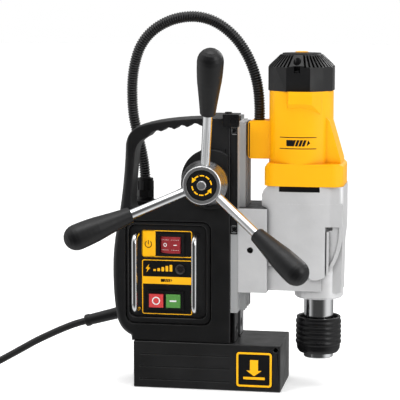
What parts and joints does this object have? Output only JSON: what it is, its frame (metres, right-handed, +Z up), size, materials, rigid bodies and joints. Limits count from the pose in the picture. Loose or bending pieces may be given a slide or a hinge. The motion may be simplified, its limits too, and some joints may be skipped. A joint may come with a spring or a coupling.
{
  "type": "magnetic drill press",
  "caption": "Portable electromagnet-based drill press: black body with handle and switch panel, dovetail slide moved by a spoked feed hub, motor and gearbox driving a quick-change spindle.",
  "frame": {"origin": "centre of the electromagnet's working face", "axes": "+X along the magnet towards the spindle, +Y across it away from the operator, +Z up, away from the work"},
  "size_m": [0.5548, 0.2017, 0.4165],
  "materials": {
    "black_case": "fine satin black powder coat",
    "black_plastic": "satin moulded plastic",
    "yellow_plastic": "satin yellow moulded plastic",
    "silver_cast": "silver painted casting",
    "machined": "ground and milled steel",
    "magnet_paint": "semi-gloss black paint on steel",
    "chrome": "polished chrome plating",
    "black_steel": "black oxide",
    "grip": "polished black phenolic",
    "bronze": "sintered bronze",
    "copper": "enamelled copper winding",
    "label": "printed polyester film",
    "red_plastic": "translucent red moulding",
    "green_plastic": "green moulding",
    "lens": "dark clear lens",
    "board": "solder-masked circuit board",
    "cord": "rubber-sheathed cord",
    "resin": "cast potting resin"
  },
  "bodies": {
    "stand": {"magnet_housing": "magnet_paint", "magnet_core": "machined", "magnet_coil": "copper", "coil_seal": "resin", "base_screws": "black_steel", "magnet_label": "label", "body_casing": "black_case", "rear_cover": "black_case", "cover_screws": "black_steel", "slide_guide": "machined", "guide_bracket": "black_steel", "guide_screws": "black_steel", "control_panel": "black_plastic", "panel_label": "label", "guard_bars": "chrome", "rocker_frame": "black_plastic", "overload_lens": "lens", "switch_frame": "black_plastic", "control_board": "board", "conduit_gland": "black_plastic", "conduit": "black_plastic", "strain_relief": "black_plastic", "power_cord": "cord", "cord_coil": "cord", "power_plug": "black_plastic", "pinion_bushes": "bronze"},
    "feed": {"pinion_shaft": "machined", "feed_hub": "chrome", "hub_label": "label", "release_spring": "chrome", "handle_rods": "chrome", "handle_grips": "grip"},
    "release": {"release_button": "chrome"},
    "rocker": {"rocker": "red_plastic"},
    "stop": {"stop_button": "red_plastic"},
    "start": {"start_button": "green_plastic"},
    "carriage": {"slide_plate": "machined", "rack": "machined", "gib_strip": "machined", "gib_screws": "black_steel", "slide_cover": "black_plastic", "carriage_bracket": "silver_cast", "carriage_screws": "black_steel", "gearbox_casting": "silver_cast", "gearbox_cover": "silver_cast", "motor_baffle": "black_plastic", "motor_housing": "yellow_plastic", "junction_box": "yellow_plastic", "motor_end_cap": "black_plastic", "motor_screws": "black_steel", "field_stator": "machined", "motor_brushes": "bronze", "motor_bearings": "machined", "gearbox_bearings": "machined"},
    "armature": {"armature": "machined"},
    "countershaft": {"intermediate_gear": "machined"},
    "spindle": {"spindle": "chrome", "spindle_gear": "machined"},
    "collar": {"arbor_collar": "black_plastic", "collar_spring": "chrome"}
  },
  "joints": [
    {"name": "carriage_slide", "type": "slide", "parent": "stand", "child": "carriage", "axis": [0, 0, 1], "range_m": [-0.03, 0.11], "deforming": ["conduit"]},
    {"name": "feed_spin", "type": "hinge", "parent": "stand", "child": "feed", "pos_m": [0.005, 0, 0.235], "axis": [0, 1, 0], "range_deg": [-601, 165]},
    {"name": "release_press", "type": "slide", "parent": "feed", "child": "release", "axis": [0, 1, 0], "range_m": [0, 0.003], "stiffness_N_per_m": 900, "springref_m": -0.001, "deforming": ["release_spring"]},
    {"name": "rocker_tilt", "type": "hinge", "parent": "stand", "child": "rocker", "pos_m": [-0.041, -0.031, 0.16], "axis": [0, 0, 1], "range_deg": [0, 16]},
    {"name": "stop_press", "type": "slide", "parent": "stand", "child": "stop", "axis": [0, 1, 0], "range_m": [0, 0.002], "stiffness_N_per_m": 1200, "springref_m": -0.001},
    {"name": "start_press", "type": "slide", "parent": "stand", "child": "start", "axis": [0, 1, 0], "range_m": [0, 0.002], "stiffness_N_per_m": 1200, "springref_m": -0.001},
    {"name": "spindle_spin", "type": "hinge", "parent": "carriage", "child": "spindle", "pos_m": [0.12, 0, 0.1], "axis": [0, 0, 1], "continuous": true},
    {"name": "countershaft_spin", "type": "hinge", "parent": "carriage", "child": "countershaft", "pos_m": [0.1095, 0.01583, 0.19], "axis": [0, 0, 1], "continuous": true},
    {"name": "armature_spin", "type": "hinge", "parent": "carriage", "child": "armature", "pos_m": [0.099, 0, 0.27], "axis": [0, 0, 1], "continuous": true},
    {"name": "collar_lift", "type": "slide", "parent": "spindle", "child": "collar", "axis": [0, 0, 1], "range_m": [0, 0.006], "stiffness_N_per_m": 1500, "springref_m": -0.008, "deforming": ["collar_spring"]}
  ],
  "couplings": [
    {"joint": "feed_spin", "follows": "carriage_slide", "rad_per_m": -95.238},
    {"joint": "countershaft_spin", "follows": "armature_spin", "ratio": -0.35714},
    {"joint": "spindle_spin", "follows": "armature_spin", "ratio": 0.12755}
  ]
}
